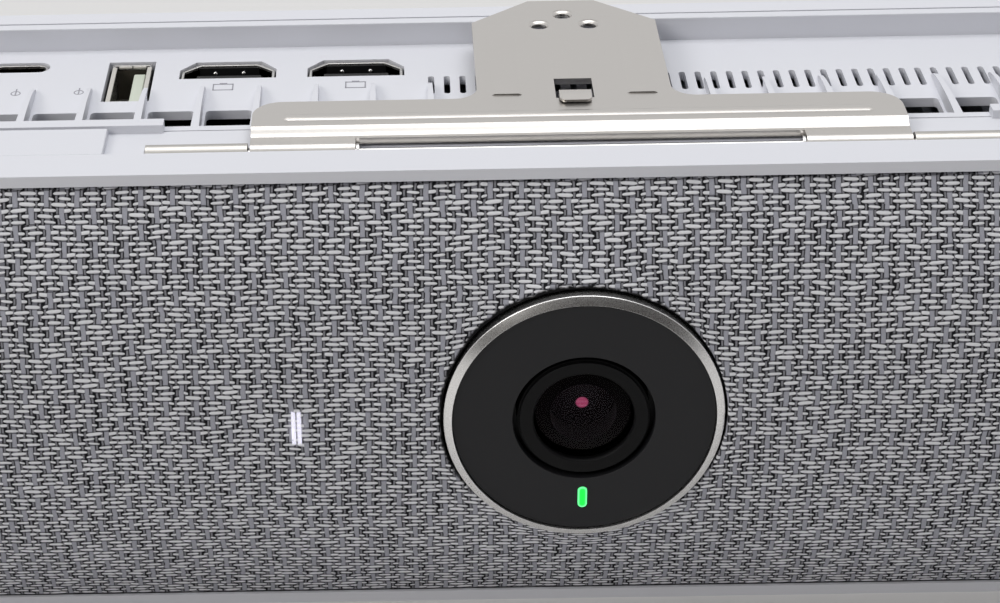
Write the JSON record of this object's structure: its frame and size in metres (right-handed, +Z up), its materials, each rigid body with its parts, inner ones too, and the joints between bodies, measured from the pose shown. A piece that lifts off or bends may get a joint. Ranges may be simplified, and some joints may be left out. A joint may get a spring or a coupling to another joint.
{
  "type": "conference camera",
  "caption": "Video conference bar with a central lens, curved cloth front, connector bay in its underside and a hinged steel display bracket, shown resting on its top cover.",
  "frame": {"origin": "Middle of the object's box at the level of the face it rests on. That face is the bar's top cover: the bar lies upside down, as pictured, with its underside and bracket facing up. In use it is turned half a turn about Y.", "axes": "+X along the bar, to the right when its lens faces the viewer in this upside-down pose; +Y from the lens towards the back; +Z up, from the top cover towards the underside."},
  "size_m": [0.5, 0.076, 0.0793],
  "materials": {
    "white_plastic": "fine matte texture, cool white",
    "fabric": "woven acoustic cloth, light grey weft over blue-grey warp",
    "ring_metal": "satin, polished edges",
    "charcoal_plastic": "smooth matte charcoal",
    "black_plastic": "matte black",
    "lens_glass": "coated optical glass",
    "light_guide": "translucent",
    "circuit_board": "green solder mask",
    "socket_metal": "bright tin plating",
    "ivory_plastic": "satin",
    "aluminium": "plain extruded",
    "speaker_steel": "satin",
    "nickel_steel": "satin nickel plating, bright along the bends",
    "bright_steel": "bright zinc plating"
  },
  "bodies": {
    "body": {"housing": "white_plastic", "front_rail": "white_plastic", "rear_rail": "white_plastic", "connector_tray": "white_plastic", "end_cover_left": "white_plastic", "end_cover_right": "white_plastic", "grille_plate": "black_plastic", "fabric_cover": "fabric", "trim_ring": "ring_metal", "camera_disc": "charcoal_plastic", "lens_barrel": "black_plastic", "lens_front_glass": "lens_glass", "lens_inner_glass": "lens_glass", "lens_retainer": "charcoal_plastic", "camera_holder": "black_plastic", "camera_board": "circuit_board", "image_sensor": "black_plastic", "indicator_light_pipe": "light_guide", "status_light_guide": "light_guide", "status_light_board": "circuit_board", "microphone_board_left": "circuit_board", "microphone_board_right": "circuit_board", "main_board": "circuit_board", "processor_shield": "socket_metal", "heat_sink": "aluminium", "hdmi_port_1": "socket_metal", "hdmi_port_2": "socket_metal", "hdmi_contacts": "black_plastic", "usb_a_port": "socket_metal", "usb_a_tongue": "ivory_plastic", "usb_c_port": "socket_metal", "usb_c_tongue": "black_plastic", "network_jack": "socket_metal", "network_jack_contacts": "socket_metal", "audio_jacks": "black_plastic", "power_inlet": "black_plastic", "power_inlet_pin": "socket_metal", "label_plate": "white_plastic", "speaker_box_left": "black_plastic", "speaker_box_right": "black_plastic", "speaker_frame_left": "speaker_steel", "speaker_frame_right": "speaker_steel", "speaker_cone_left": "black_plastic", "speaker_cone_right": "black_plastic", "speaker_magnet_left": "speaker_steel", "speaker_magnet_right": "speaker_steel", "antenna_left": "circuit_board", "antenna_right": "circuit_board", "hinge_leaf_left": "nickel_steel", "hinge_leaf_right": "nickel_steel", "hinge_pin": "bright_steel", "hinge_clips": "bright_steel", "hinge_screws": "bright_steel", "cover_screws": "bright_steel", "camera_screws": "bright_steel", "board_screws": "bright_steel"},
    "bracket": {"mount_bracket": "nickel_steel"}
  },
  "joints": [
    {"name": "bracket_hinge", "type": "hinge", "parent": "body", "child": "bracket", "pos_m": [0, -0.02015, 0.07564], "axis": [1, 0, 0], "range_deg": [0, 90]}
  ]
}
